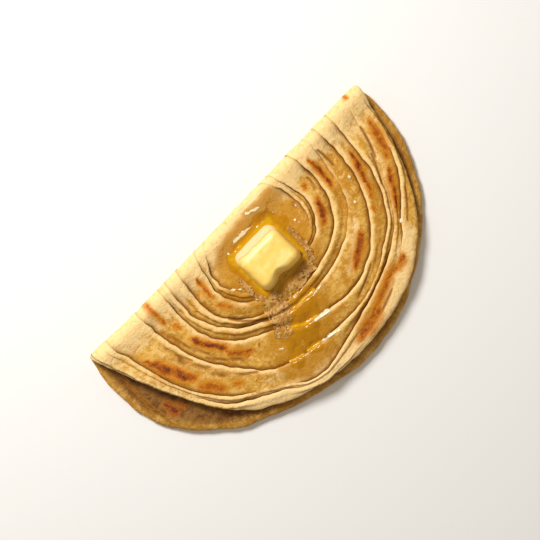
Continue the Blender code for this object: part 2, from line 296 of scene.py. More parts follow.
def rimRows(last, spokes):
    # from the last crease over the rim and in to the middle of the inner face
    half = bread["thickness"] / 2.0
    bend, rimHalf = bread["rimBend"], half * bread["rimHeight"]
    blank = np.zeros(bread["spokes"])
    rim = around(bread["rim"], spokes)
    rim = rim + wander(rim * np.cos(spokes), rim * np.sin(spokes), bread["rimWander"])
    startReach, startHeight, _, startLip = last
    rows = []
    for step in range(1, bread["rimRows"] + 1):
        share = step / (bread["rimRows"] + 1.0)
        reach = startReach + (rim - bend - 0.3 - startReach) * share
        height = startHeight + (half * bread["rimShoulder"] - startHeight) * share
        rows.append((reach, height, blank, startLip * (1.0 - share)))
    for step in range(1, bread["rimTurns"] + 1):
        turn = math.pi * step / (bread["rimTurns"] + 1.0)
        rows.append((rim - bend + bend * math.sin(turn), blank + rimHalf * math.cos(turn), blank, blank))
    for step in range(bread["innerRows"]):  # closer together near the rim, where they show
        share = 1.0 - ((step + 0.6) / (bread["innerRows"] + 0.2)) ** bread["innerCrowding"]
        rows.append(((rim - bend - 0.5) * share, blank - half, blank, blank))
    return rows


def sheetRows():
    # rows from the middle of the outer face over the rim to the middle of the inner face:
    # reach, height above mid thickness, crevice (its painted shade) and lip (paler, partly a painted
    # highlight)
    spokes = spokeAngles()
    ringAngles = np.linspace(0.0, 2.0 * math.pi, 1440, endpoint=False)
    radii, depths = creaseRings(ringAngles)
    firstReach = ringRow(radii[0] - 3.0, (), ringAngles, spokes)[0]
    blank = np.zeros(bread["spokes"])
    crown = blank + bread["thickness"] / 2.0 + bread["crown"]
    rows = []
    for row in range(1, bread["heartRows"] + 1):
        rows.append((firstReach * row / (bread["heartRows"] + 1.0), crown, blank, blank))
    for number, (radius, depth) in enumerate(zip(radii, depths)):
        last = number + 1 == len(radii)
        inner = radius - radii[number - 1] if number else bread["innerBand"]
        outer = bread["outerBand"] if last else radii[number + 1] - radius
        inScale = np.minimum(inner / bread["fullBand"], 1.0)
        outScale = np.minimum(outer / bread["fullBand"], 1.0)
        rows += creaseRows(radius, depth, inScale, outScale, ringAngles, spokes)
        if not last:
            rows += bandRows(radius, depth, radii[number + 1], depths[number + 1], outScale,
                             ringAngles, spokes)
    return rows + rimRows(rows[-1], spokes)


def foldLine():
    # how far the bend of the fold reaches past the bend's own axis
    return bread["bend"] + bread["thickness"] / 2.0


def seatLevel():
    # the top of the two flaps, where the butter stands
    return 2.0 * bread["thickness"] + bread["gap"]


def onSeat(along, across):
    (lowAlong, highAlong), (lowAcross, highAcross) = bread["seat"]
    outAlong = np.maximum(np.maximum(lowAlong - along, along - highAlong), 0.0)
    outAcross = np.maximum(np.maximum(lowAcross - across, across - highAcross), 0.0)
    return 1.0 - smoothStep((np.hypot(outAlong, outAcross) - bread["seatMargin"]) / bread["seatBlend"])


def foldOver(along, across, height):
    # carries the flat sheet round the bend; across is positive on the upper flap
    openShare = smoothStep((-along - bread["openFrom"]) / (bread["openTo"] - bread["openFrom"]))
    bend = bread["bend"] + bread["openBend"] * openShare
    gap = bread["gap"] + bread["openGap"] * openShare
    axisHeight = bread["thickness"] / 2.0 + bend
    flatPart = np.abs(across) - math.pi * bend / 2.0
    turn = across / bend
    y = np.where(flatPart <= 0.0, (bend + height) * np.cos(turn), -flatPart)
    z = axisHeight + np.where(flatPart <= 0.0, (bend + height) * np.sin(turn),
                              np.sign(across) * (bend + height))
    drop = 2.0 * bend - bread["thickness"] - gap
    sag = smoothStep((across - bread["sagFrom"]) / (bread["sagTo"] - bread["sagFrom"]))
    z = z - np.where(across > 0.0, drop * sag, 0.0)
    seated = onSeat(along, foldLine() - y)
    z = z + np.where((across > 0.0) & (height > 0.0), (seatLevel() - z) * seated, 0.0)
    return along, y, np.maximum(z, 0.0)


def finishPiece(name, shape, material, attributes=None):
    mesh = bpy.data.meshes.new(name)
    shape.to_mesh(mesh)
    shape.free()
    mesh.shade_smooth()
    for label, values in (attributes or {}).items():
        layer = mesh.attributes.new(label, "FLOAT", "POINT")
        layer.data.foreach_set("value", np.asarray(values, dtype=np.float32))
    mesh.materials.append(material)
    piece = bpy.data.objects.new(name, mesh)
    bpy.context.scene.collection.objects.link(piece)
    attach(piece, "root")
    return piece


def ballPlaces(shape, bands):
    # the row and the spoke of every vertex of a ball
    ball = np.array([vertex.co[:] for vertex in shape.verts])
    row = np.rint(np.arccos(np.clip(ball[:, 2], -1.0, 1.0)) * bands / math.pi).astype(int)
    spoke = np.rint(np.arctan2(ball[:, 1], ball[:, 0]) * bread["spokes"] / (2.0 * math.pi))
    return row, spoke.astype(int) % bread["spokes"]


def creamMarks(along, across, coilAngle, coilRadius, shown):
    # pale along the fold and at its +X tip, and in patches
    fromFold = np.abs(across) - bread["paleFold"] - wander(along, across, bread["paleWander"])
    alongFold = 1.0 - smoothStep(fromFold / bread["paleBlend"])
    nearTip = (1.0 - smoothStep((coilAngle - 4.0) / 16.0)) * smoothStep((coilAngle + 17.0) / 12.0)
    cream = np.maximum(alongFold, 0.8 * nearTip * smoothStep((coilRadius - 62.0) / 10.0))
    return marked(np.where(shown, cream, 0.0), shown, coilAngle, coilRadius, creams, 1.5)


def lowerStep(angle, reach):
    # the crease of the inner face: how far it has stepped down, and how deep in its trough
    (startAngle, startReach), (endAngle, endReach) = lowerCrease["start"], lowerCrease["end"]
    part = np.clip((angle - startAngle) / (endAngle - startAngle), 0.0, 1.0)
    line = startReach + (endReach - startReach) * part ** 1.15
    fade = smoothStep((180.0 - angle) / 5.0) * smoothStep((angle - endAngle) / 5.0)
    stepDown = smoothStep((reach - line) / lowerCrease["width"]) * fade
    return stepDown, fade * np.exp(-((reach - line - 0.6) / lowerCrease["trough"]) ** 2)


def dressOuter(along, across, height, skin, shown, seenAcross):
    # the outer face: nicks, pale patches, browned spots with golden rims, oiled patches
    angle, radius = coilPlace(along, across)
    for start, end, startRadius, endRadius, depth, width in nicks:
        cut = arcMark(angle, radius, (start, end, startRadius, endRadius, width))
        height = height - np.where(shown, cut * depth, 0.0)
        # painted shade: each nick is darkened as a crevice
        skin["creviceShade"] = np.maximum(skin["creviceShade"], np.where(shown, cut * 0.8, 0.0))
    skin["cream"] = creamMarks(along, across, angle, radius, shown)
    skin["coilOut"] = radius
    skin["coilRound"] = np.radians(angle) * bread["grainRadius"]
    angle = angle + wander(along, across, bread["spotTurn"])
    radius = radius + wander(along, across, bread["spotWander"])
    nothing = np.zeros(len(along))
    brown = marked(nothing, shown, angle, radius, spots, 1.6)
    skin["brown"] = np.clip(brown * (0.95 + 0.4 * roughness(along, across, 3.0, 15)), 0.0, 1.0)
    rims = [(*mark[:5], 0.8) for mark in spots]
    golden = marked(nothing, shown, angle, radius, rims, 4.0)
    skin["golden"] = marked(golden, shown, angle, radius, goldens, 1.5)
    puddle = strokeDistance(along, seenAcross, meltShape["strokes"])
    puddle = puddle + wander(along, across, bread["wetWander"])
    damp = 1.0 - smoothStep(puddle / bread["wetReach"])
    skin["wet"] = np.where(shown & (across > 0.0), damp, 0.0)
    return height


def dressInner(along, across, height, skin, outer):
    # the inner face of the lower flap: its crease, browned spots, and a darker middle that is partly its
    # own colour and partly painted shade under the upper flap
    shown = (~outer) & (across < 0.0)
    angle = np.degrees(np.arctan2(-across, along)) + wander(along, across, bread["lowerTurn"])
    reach = np.hypot(along, across) + wander(along, across, bread["lowerWander"])
    stepDown, trough = lowerStep(angle, reach)
    height = height + np.where(shown, stepDown * lowerCrease["step"], 0.0)
    # painted shade: the trough of the inner crease is darkened as a crevice
    skin["creviceShade"] = np.maximum(skin["creviceShade"], np.where(shown, trough * 0.9, 0.0))
    skin["brown"] = marked(skin["brown"], shown, angle, reach, lowerSpots, 1.9)
    # golden marks, partly a painted glow in the open tip and painted shade along the upper flap's rim
    skin["golden"] = marked(skin["golden"], shown, angle, reach, lowerSpots + lowerGoldens, 2.2, 0.6)
    # darker the further in from its own rim, where the upper flap lies over it: partly painted shade,
    # partly the inner face's own colour
    inward = around(bread["rim"], -np.radians(angle)) - reach
    skin["inside"] = np.where(outer, 0.0, 0.32 + 0.68 * smoothStep((inward - 1.5) / 6.0))
    return height


def makeBread():
    rows = sheetRows()
    half = bread["thickness"] / 2.0
    shape = bmesh.new()
    bands = len(rows) + 1
    bmesh.ops.create_uvsphere(shape, u_segments=bread["spokes"], v_segments=bands, radius=1.0)
    row, spoke = ballPlaces(shape, bands)
    blank = np.zeros(bread["spokes"])
    top = (blank, blank + half + bread["crown"], blank, blank)
    bottom = (blank, blank - half, blank, blank)
    table = np.array([top, *rows, bottom])
    reach, height, creviceShade, lip = (table[row, column, spoke] for column in range(4))
    angle = spokeAngles()[spoke]
    along, across = reach * np.cos(angle), reach * np.sin(angle)
    topRows = (bread["heartRows"] + len(creases) * len(creaseSection)
               + (len(creases) - 1) * bread["bandRows"] + bread["rimRows"])
    outer = row <= topRows + (bread["rimTurns"] + 1) // 2  # half way round the rim
    relief = 0.15 + 0.85 * smoothStep((np.abs(across) - bread["bendFlat"]) / bread["bendBlend"])
    height = np.where(row <= topRows, half + (height - half) * relief, height)
    baseX, baseY, _ = foldOver(along, across, height)
    crust = np.where(outer, 1.0, bread["innerUneven"]) * (np.abs(height) > half * 0.7)
    height = height + crust * wander(along, across, bread["uneven"])
    skin = {"creviceShade": creviceShade * (0.25 + 0.75 * relief), "lip": lip}
    shown = outer & (across > bread["markEdge"])
    height = dressOuter(along, across, height, skin, shown, foldLine() - baseY)
    height = dressInner(along, across, height, skin, outer)
    x, y, z = foldOver(along, across, height)
    low, high = (Vector(corner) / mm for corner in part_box("paratha"))
    shift = ((low.x + high.x) / 2.0 - (baseX.min() + baseX.max()) / 2.0, high.y - baseY.max())
    x, y = np.clip(x + shift[0], low.x, high.x), np.clip(y + shift[1], low.y, high.y)
    for vertex, place in zip(shape.verts, zip(x, y, z)):
        vertex.co = Vector(place) * mm
    # folding towards -Y mirrors the sheet, so its faces are turned back out
    bmesh.ops.reverse_faces(shape, faces=shape.faces)
    piece = finishPiece("paratha_bread", shape, doughMaterial(), skin)
    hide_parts("paratha")
    return piece, shift


class Wire:
    # a shader socket that can be used in sums
    def __init__(self, paint, socket):
        self.paint, self.socket = paint, socket

    def sum(self, operation, *values):
        return self.paint.add("ShaderNodeMath", {"operation": operation}, dict(enumerate(values)))

    def __add__(self, other):
        return self.sum("ADD", self, other)

    def __radd__(self, other):
        return self.sum("ADD", other, self)

    def __sub__(self, other):
        return self.sum("SUBTRACT", self, other)

    def __rsub__(self, other):
        return self.sum("SUBTRACT", other, self)

    def __mul__(self, other):
        return self.sum("MULTIPLY", self, other)

    def __rmul__(self, other):
        return self.sum("MULTIPLY", other, self)


class Paint:
    # one material, its settings straight on the shader's own sockets
    def __init__(self, name, settings):
        self.material = bpy.data.materials.new(name)
        self.material.use_nodes = True
        self.tree = self.material.node_tree
        self.surface = next(node for node in self.tree.nodes if node.type == "BSDF_PRINCIPLED")
        for label, value in settings.items():
            self.surface.inputs[label].default_value = value
        self.place = self.add("ShaderNodeTexCoord", {}, {}, "Object")

    def add(self, kind, settings, values, output=0):
        node = self.tree.nodes.new(kind)
        for label, value in settings.items():
            setattr(node, label, value)
        for label, value in values.items():
            if isinstance(value, Wire):
                self.tree.links.new(value.socket, node.inputs[label])
            else:
                node.inputs[label].default_value = value
        return Wire(self, node.outputs[output])

    def read(self, name):
        return self.add("ShaderNodeAttribute", {"attribute_name": name}, {}, "Fac")

    def grain(self, scale, detail=3.0, rough=0.5, warp=0.0, place=None):
        values = {"Vector": place or self.place, "Scale": scale, "Detail": detail,
                  "Roughness": rough, "Distortion": warp}
        return self.add("ShaderNodeTexNoise", {}, values, "Fac")

    def band(self, value, low, high, start=0.0, end=1.0):
        settings = {"interpolation_type": "SMOOTHSTEP"}
        values = {"Value": value, "From Min": low, "From Max": high, "To Min": start, "To Max": end}
        return self.add("ShaderNodeMapRange", settings, values, "Result")

    def mix(self, factor, first, second):
        settings = {"data_type": "RGBA", "blend_type": "MIX", "clamp_factor": True}
        colours = [value if isinstance(value, Wire) else (*value, 1.0) for value in (first, second)]
        # the colour sockets of a Mix node are numbers 6 and 7, its colour output number 2
        return self.add("ShaderNodeMix", settings, {0: factor, 6: colours[0], 7: colours[1]}, 2)

    def feed(self, **links):
        for label, wire in links.items():
            self.tree.links.new(wire.socket, self.surface.inputs[label.replace("_", " ")])

    def bump(self, height, distance, strength):
        values = {"Height": height, "Distance": distance, "Strength": strength}
        self.feed(Normal=self.add("ShaderNodeBump", {}, values, "Normal"))


doughLook = {
    "cream": (0.86, 0.60, 0.26), "pale": (0.72, 0.41, 0.075), "tan": (0.52, 0.235, 0.018),
    # inside: the inner face's dark brown, partly painted shade under the upper flap
    "gold": (0.56, 0.21, 0.006), "wet": (0.50, 0.215, 0.004), "inside": (0.115, 0.032, 0.002),
    # shade and crevice: painted shade, the browns the crust darkens to in its crevices
    "shade": (0.34, 0.13, 0.010), "creviceShade": (0.12, 0.032, 0.002),
    "halo": (0.58, 0.19, 0.005), "brown": (0.34, 0.078, 0.001), "char": (0.10, 0.015, 0.0005),
    # grains to the metre: clouds of colour, mottling, flecks of flour, freckles
    "clouds": 80.0, "mottle": 330.0, "fleck": 950.0, "speck": 900.0, "freckle": 230.0,
    "leaves": 0.9, "leafStretch": 0.14,
}


def doughMaterial():
    look = doughLook
    paint = Paint("baked_dough_crust", {
        "Subsurface Weight": 0.05, "Subsurface Radius": (1.0, 0.5, 0.2), "Subsurface Scale": 0.0015,
        "Coat Roughness": 0.25, "Specular IOR Level": 0.2})
    creviceShade, lip, cream = paint.read("creviceShade"), paint.read("lip"), paint.read("cream")
    brown, golden, inside = paint.read("brown"), paint.read("golden"), paint.read("inside")
    wet = paint.read("wet")
    coilPath = paint.add("ShaderNodeCombineXYZ", {}, {
        "X": paint.read("coilOut"), "Y": paint.read("coilRound") * look["leafStretch"]})
    leaves = paint.grain(look["leaves"], 4.0, 0.6, 0.5, coilPath)  # thin leaves that run along the coil
    clouds = paint.grain(look["clouds"], 4.0, 0.55, 0.4)
    mottle = paint.grain(look["mottle"], 5.0, 0.6, 0.6)
    fleck = paint.grain(look["fleck"], 3.0, 0.6)
    tone = clouds * 0.5 + mottle * 0.55 + leaves * 0.06
    colour = paint.mix(paint.band(tone, 0.45, 0.67), look["tan"], look["pale"])
    colour = paint.mix(paint.band(cream * 0.85 + (mottle - 0.5) * 1.5, 0.1, 0.95), colour, look["cream"])
    # paler along each lip, partly a painted highlight where the lip faces the lamp
    colour = paint.mix(paint.band(lip + (mottle - 0.5) * 0.9, 0.1, 1.0, 0.0, 0.8), colour, look["cream"])
    colour = paint.mix(paint.band(fleck * 0.6 + mottle * 0.4, 0.5, 0.66, 0.0, 0.5), colour, look["cream"])
    colour = paint.mix(paint.band(golden + (mottle - 0.5) * 0.7, 0.1, 0.85, 0.0, 0.9), colour, look["gold"])
    # the inner face's dark brown, partly painted shade under the upper flap, laid on in patches
    patches = paint.band(clouds * 0.6 + mottle * 0.4, 0.38, 0.62, 1.0, 0.75)
    colour = paint.mix(inside * patches, colour, look["inside"])
    colour = paint.mix(paint.band(wet + (mottle - 0.5) * 0.6, 0.0, 0.9, 0.0, 0.85), colour, look["wet"])
    # painted shade: the crust darkens into every crevice, to a shade brown and then nearly black
    colour = paint.mix(paint.band(creviceShade, 0.02, 0.6, 0.0, 0.85), colour, look["shade"])
    colour = paint.mix(paint.band(creviceShade, 0.5, 1.0, 0.0, 0.95), colour, look["creviceShade"])
    # a browned spot: golden halo, brown, then nearly black, all with ragged edges
    speck = paint.grain(look["speck"], 4.0, 0.7)
    spotEdge = brown * (0.6 + mottle * 0.9) + (speck - 0.5) * 1.2 * paint.band(brown, 0.0, 0.5)
    halo = paint.band(spotEdge, 0.02, 0.36, 0.0, 0.95) * (1.0 - inside * 0.7)
    colour = paint.mix(halo, colour, look["halo"])
    colour = paint.mix(paint.band(spotEdge, 0.25, 0.7, 0.0, 0.95), colour, look["brown"])
    colour = paint.mix(paint.band(spotEdge, 0.6, 1.1, 0.0, 0.9), colour, look["char"])
    freckles = paint.grain(look["freckle"], 4.0, 0.65, 0.8) + (fleck - 0.5) * 0.2
    freckles = paint.band(freckles, 0.64, 0.78, 0.0, 0.6)
    colour = paint.mix(freckles * (1.0 - inside), colour, look["gold"])
    paint.feed(Base_Color=colour)
    oil = paint.band(clouds * 0.6 + mottle * 0.4 + golden * 0.3 + wet * 0.5, 0.45, 0.95, 0.0, 0.28)
    paint.feed(Coat_Weight=oil, Roughness=paint.band(mottle, 0.3, 0.7, 0.42, 0.68))
    paint.bump(mottle * 0.5 + leaves * 0.06 + fleck * 0.25, 0.0015, 0.9)
    return paint.material


butterLook = {
    # side is the fold-side face's colour, paler partly as painted light from the lamp on that side
    "middle": (0.90, 0.60, 0.115), "pale": (0.93, 0.70, 0.23), "side": (0.82, 0.57, 0.30),
    # seam: a darker line painted as shade in the dent between top and side
    "melted": (0.84, 0.50, 0.09), "seamShade": (0.66, 0.36, 0.06),
}
butterShape = {
    "along": bread["seat"][0], "across": bread["seat"][1], "height": 10.5, "corner": 4.2, "cuts": 46,
    "flare": 1.3, "foldFlare": 4.6,  # the foot spreads, most of all towards the fold
    "notchDepth": 3.4, "notchWidth": 4.0, "notchAlong": 0.5,  # the dent melted into one side
    "lift": 0.3, "sink": 1.3,
    "seamAcross": 21.6, "seamWander": 2.4, "seamWave": 7.0, "seamWidth": 0.3, "seamDepth": 0.35,
}


def butterMaterial():
    look = butterLook
    paint = Paint("soft_butter", {
        "Roughness": 0.46, "Coat Weight": 0.18, "Coat Roughness": 0.35,
        "Subsurface Weight": 0.25, "Subsurface Radius": (1.0, 0.6, 0.2), "Subsurface Scale": 0.003})
    melt, paleSideAndHighlight, seamShade = paint.read("melt"), paint.read("paleSideAndHighlight"), paint.read("seamShade")
    streaks = paint.grain(160.0, 4.0, 0.5, 0.5)
    colour = paint.mix(paint.band(streaks, 0.35, 0.7), look["middle"], look["pale"])
    colour = paint.mix(melt * 0.7, colour, look["melted"])
    # the fold-side face paler, partly as painted light, and a painted highlight just behind its top edge
    colour = paint.mix(paleSideAndHighlight * 0.9, colour, look["side"])
    # painted shade along the dent between the top and the fold-side face
    colour = paint.mix(seamShade * 0.8, colour, look["seamShade"])
    paint.feed(Base_Color=colour)
    paint.bump(paint.grain(260.0, 4.0, 0.5) * 0.8 + paint.grain(1200.0, 2.0) * 0.2, 0.0006, 0.6)
    return paint.material


def makeButter(shift):
    size = butterShape
    shape = bmesh.new()
    bmesh.ops.create_cube(shape, size=2.0)
    bmesh.ops.subdivide_edges(shape, edges=shape.edges, cuts=size["cuts"], use_grid_fill=True)
    half = ((size["along"][1] - size["along"][0]) / 2.0 - size["flare"],
            (size["across"][1] - size["across"][0]) / 2.0 - (size["flare"] + size["foldFlare"]) / 2.0,
            size["height"] / 2.0)
    centreX = sum(size["along"]) / 2.0
    centreY = foldLine() - sum(size["across"]) / 2.0 - (size["foldFlare"] - size["flare"]) / 2.0
    bottom = seatLevel() + size["lift"]
    melt, paleSideAndHighlight, seamShade = [], [], []
    for vertex in shape.verts:
        point = [vertex.co[axis] * half[axis] for axis in range(3)]
        core = [max(-half[axis] + size["corner"], min(half[axis] - size["corner"], point[axis]))
                for axis in range(3)]
        core[2] = min(core[2], point[2]) if point[2] < 0.0 else core[2]  # the foot stays square
        away = Vector(point) - Vector(core)
        if away.length > 0.0:
            point = Vector(core) + away.normalized() * size["corner"]
        x, y, z = point
        low = float(smoothStep(0.5 - 0.5 * z / half[2]))  # 0 at the top, 1 at the foot
        yShare = y / half[1]
        soft = noise.noise((x / 7.0, y / 7.0, z / 9.0)) * 0.6 + noise.noise((x / 3.0, y / 3.0, 5.0)) * 0.2
        x += size["flare"] * low * low * x / half[0] + soft * 0.4
        y += (size["foldFlare"] if y > 0.0 else size["flare"]) * low * low * yShare + soft * 0.3
        notch = math.exp(-((x + centreX - size["notchAlong"]) / size["notchWidth"]) ** 2)
        y += size["notchDepth"] * (1.0 - 0.5 * low) * notch * max(-yShare, 0.0) ** 2
        z += min(soft * 0.5, 0.0) * (1.0 - low) - size["sink"] * (low > 0.9)
        wave = size["seamWander"] * noise.noise((x / size["seamWave"], 7.0, 0.0))
        edge = foldLine() - (y + centreY) - size["seamAcross"] - wave
        onTop = (z > -half[2] * 0.6) * (abs(x) < half[0] * 0.88)
        # the dent; the material also darkens it as painted shade
        line = math.exp(-(edge / size["seamWidth"]) ** 2) * onTop
        z -= size["seamDepth"] * line
        melt.append(max(0.0, low * 1.3 - 0.3))
        # pale over the fold-side face and, at half strength, in a painted highlight band just past the seam
        paleSideAndHighlight.append(float(max(smoothStep(0.5 - edge / 1.2), 0.5 * smoothStep(0.5 - (edge - 3.0) / 3.0))))
        seamShade.append(line)
        vertex.co = Vector((x + centreX + shift[0], y + centreY + shift[1], z + half[2] + bottom)) * mm
    attributes = {"melt": melt, "paleSideAndHighlight": paleSideAndHighlight, "seamShade": seamShade}
    piece = finishPiece("butter", shape, butterMaterial(), attributes)
    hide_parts("butter_pat")
    return piece


def strokeDistance(along, across, strokes):
    # distance outside a set of round-ended strokes, less their radius
    nearest = np.full(np.shape(along), 1e3)
    for startAlong, startAcross, endAlong, endAcross, radius in strokes:
        runAlong, runAcross = endAlong - startAlong, endAcross - startAcross
        part = ((along - startAlong) * runAlong + (across - startAcross) * runAcross)
        part = np.clip(part / (runAlong ** 2 + runAcross ** 2 + 1e-9), 0.0, 1.0)
        away = np.hypot(along - startAlong - runAlong * part, across - startAcross - runAcross * part)
        nearest = np.minimum(nearest, away - radius)
    return nearest


def blurred(field, passes):
    for _ in range(passes):
        padded = np.pad(field, 1, mode="edge")
        field = (padded[:-2, 1:-1] + padded[2:, 1:-1] + padded[1:-1, :-2] + padded[1:-1, 2:]
                 + 4.0 * field) / 8.0
    return field


def groundUnder(tree, x, y):
    # height of the bread under each point, in mm
    heights = np.zeros(len(x))
    for index, (a, b) in enumerate(zip(x, y)):
        hit = tree.ray_cast(Vector((a, b, 40.0)) * mm, Vector((0.0, 0.0, -1.0)))
        heights[index] = hit[0].z / mm if hit[0] else 0.0
    return heights


def layFilm(name, tree, shift, look, material, profile):
    # a thin closed sheet over the look's box, tucked under the crust where it ends: profile
    # gives its top and what its material reads
    lowAlong, highAlong, lowAcross, highAcross = look["box"]
    columns = int((highAlong - lowAlong) / look["step"])
    lines = int((highAcross - lowAcross) / look["step"])
    shape = bmesh.new()
    bmesh.ops.create_grid(shape, x_segments=columns - 1, y_segments=lines - 1, size=1.0)
    flat = np.array([vertex.co[:2] for vertex in shape.verts])
    column = np.rint((flat[:, 0] + 1.0) * (columns - 1) / 2.0).astype(int)
    line = np.rint((flat[:, 1] + 1.0) * (lines - 1) / 2.0).astype(int)
    along = lowAlong + (highAlong - lowAlong) * column / (columns - 1.0)
    across = highAcross - (highAcross - lowAcross) * line / (lines - 1.0)
    x, y = along + shift[0], foldLine() + shift[1] - across
    ground = groundUnder(tree, x, y)
    field = np.zeros((lines, columns))
    field[line, column] = ground
    passes = int(4.3 / look["step"] ** 2)  # the same reach at any step
    level = np.maximum(blurred(field, passes), blurred(field, 3))[line, column]  # creases filled
    inside = -(strokeDistance(along, across, look["strokes"]) + wander(along, across, look["wobble"]))
    share = smoothStep(inside / look["edge"])
    top, attributes = profile(along, across, ground, level, inside)
    z = ground - look["tuck"] + (top - ground + look["tuck"]) * share
    layers = [(shape.verts.layers.float.new(label), values) for label, values in attributes.items()]
    for number, (vertex, place) in enumerate(zip(shape.verts, zip(x, y, z))):
        vertex.co = Vector(place) * mm
        for layer, values in layers:
            vertex[layer] = values[number]
    keep = share > 0.0
    spare = [face for face in shape.faces if not any(keep[vertex.index] for vertex in face.verts)]
    bmesh.ops.delete(shape, geom=spare, context="FACES")
    under = bmesh.ops.extrude_face_region(shape, geom=list(shape.faces))["geom"]
    sunk = [item for item in under if isinstance(item, bmesh.types.BMVert)]
    bmesh.ops.translate(shape, verts=sunk, vec=(0.0, 0.0, -look["depth"] * mm))
    bmesh.ops.recalc_face_normals(shape, faces=shape.faces)
    return finishPiece(name, shape, material)


meltShape = {
    # strokes of the melted butter: along, across, at both ends, and the radius
    "strokes": (
        (-11, 22, -11, 40, 7.6), (-10, 18, 14, 15, 6.2), (14, 14, 20, 24, 6.5), (20, 26, 18, 40, 5.5),
        (16, 44, -8, 47, 4.5), (-12, 40, -15, 52, 5.5), (0, 47, -6, 60, 5.5), (-4, 60, -20, 66, 7.0),
        (-6, 64, -14, 80, 7.0), (-16, 66, -27, 80, 6.5), (2, 60, -8, 72, 7.0), (20, 12, 25, 10, 2.5),
        (-16, 30, -24, 31, 2.2), (-2, 31.5, 6, 31.5, 15.5),
    ),
    "box": (-38.0, 32.0, 4.0, 94.0), "step": 0.55, "depth": 3.0, "tuck": 0.25,
    "film": 0.16, "pool": 0.55, "edge": 1.6, "wobble": ((1.2, 6.0, 31), (0.35, 2.6, 32)),
    "foot": 0.7, "footReach": 3.0,  # it climbs a little up the foot of the pat
    "colour": (0.43, 0.172, 0.0002), "deep": (0.60, 0.315, 0.0006), "alpha": (0.9, 0.98),
}


def meltProfile(along, across, ground, level, inside):
    look, pat = meltShape, butterShape
    pool = smoothStep((inside - 0.6) / 2.4)
    top = np.maximum(ground + look["film"], level + look["pool"] * (pool - 0.75))
    outAlong = np.maximum(np.maximum(pat["along"][0] - along, along - pat["along"][1]), 0.0)
    outAcross = np.maximum(np.maximum(pat["across"][0] - across, across - pat["across"][1]), 0.0)
    foot = 1.0 - smoothStep(np.hypot(outAlong, outAcross) / look["footReach"])
    top = top + np.maximum(seatLevel() + look["foot"] - top, 0.0) * foot
    deep = np.clip((top - ground) / 1.1, 0.0, 1.0) * 0.8 + 0.2 * pool
    return top, {"deep": deep, "edge": smoothStep((inside - 0.7) / 3.6)}


def meltMaterial():
    look = meltShape
    paint = Paint("melted_butter_film", {
        "Roughness": 0.12, "IOR": 1.46, "Specular IOR Level": 0.25,
        "Coat Weight": 0.15, "Coat Roughness": 0.05})
    deep, edge = paint.read("deep"), paint.read("edge")
    swirl = paint.grain(200.0, 3.0, 0.5, 0.5)
    depth = paint.band(deep + (swirl - 0.5) * 0.5, 0.2, 0.9)
    paint.feed(Base_Color=paint.mix(depth, look["colour"], look["deep"]))
    low, high = look["alpha"]
    body = paint.band(deep + (swirl - 0.5) * 0.4, 0.0, 0.5, low, high)
    paint.feed(Alpha=body * paint.band(edge * (swirl + 0.5), 0.01, 0.75))
    paint.bump(paint.grain(330.0, 2.0, 0.4) * 0.25 + paint.grain(120.0, 2.0) * 0.8, 0.0025, 0.85)
    return paint.material


frothShape = {
    # laid out as the strokes of the melted butter
    "strokes": (
        (-13, 49, -16, 57, 7.3), (-17, 58, -20.5, 64, 5.4), (20.6, 29, 20.6, 42, 2.4),
        (19, 45, 14, 51, 3.3), (10, 51, -4, 52, 3.5), (-16.5, 29, -17.6, 41.5, 2.4),
    ),
    "box": (-28.0, 28.0, 22.0, 74.0), "step": 0.34, "depth": 1.5, "tuck": 0.4,
    "film": 0.25, "edge": 0.8, "wobble": ((1.1, 2.4, 41), (0.9, 5.0, 42)),
    "bubbles": 1100, "size": (0.4, 1.2), "swell": 0.17,
    "holes": 480, "holeSize": (0.3, 0.75), "holeDepth": 0.3, "seed": 11,
    # pale: the bubbles' tops, partly painted light; hole: the pinholes, painted shade
    "colour": (0.36, 0.155, 0.016), "pale": (0.56, 0.32, 0.085), "hole": (0.15, 0.045, 0.002),
}


def frothProfile(along, across, ground, level, inside):
    # bubbles that stand up, and pinholes
    look = frothShape
    chance = random.Random(look["seed"])
    dome, hole, tone = np.zeros(len(along)), np.zeros(len(along)), np.full(len(along), 0.5)
    lowAlong, highAlong, lowAcross, highAcross = look["box"]
    bubbles = (look["size"], look["bubbles"], False)
    pinholes = (look["holeSize"], look["holes"], True)
    for sizes, wanted, isHole in (bubbles, pinholes):
        made = 0
        while made < wanted:
            spot = chance.uniform(lowAlong, highAlong), chance.uniform(lowAcross, highAcross)
            if strokeDistance(np.array(spot[0]), np.array(spot[1]), look["strokes"]) > 1.0:
                continue
            made += 1
            size = sizes[0] + (sizes[1] - sizes[0]) * chance.random() ** 2
            away = np.hypot(along - spot[0], across - spot[1]) / size
            if isHole:
                hole = np.maximum(hole, 1.0 - smoothStep(away * 1.3 - 0.3))
            else:
                swell = size * look["swell"] * np.sqrt(np.clip(1.0 - away ** 2, 0.0, 1.0))
                tone = np.where(swell > dome, chance.random(), tone)
                dome = np.maximum(dome, swell)
    top = np.maximum(ground, level) + look["film"] + dome - look["holeDepth"] * hole
    # paler the higher a bubble stands: partly painted light on the tops, partly a random tone for each
    # bubble
    crown = dome / (look["size"][1] * look["swell"]) * 0.6 + 0.4 * tone
    hole = hole * smoothStep(inside / look["edge"])
    return top, {"hole": hole, "crown": crown, "edge": smoothStep(inside / 2.0)}


def frothMaterial():
    look = frothShape
    paint = Paint("butter_froth", {
        "Roughness": 0.5, "Specular IOR Level": 0.3,
        "Subsurface Weight": 0.3, "Subsurface Scale": 0.001})
    crown, hole, edge = paint.read("crown"), paint.read("hole"), paint.read("edge")
    tone = paint.grain(300.0, 3.0)
    # paler on the bubbles' tops, partly painted light
    colour = paint.mix(paint.band(crown + (tone - 0.5) * 0.6, 0.2, 0.8), look["colour"], look["pale"])
    # painted shade: the pinholes are coloured nearly black
    paint.feed(Base_Color=paint.mix(paint.band(hole, 0.15, 0.7), colour, look["hole"]))
    paint.feed(Alpha=paint.band(edge * (tone * 1.4 + 0.3), 0.1, 0.6))
    return paint.material


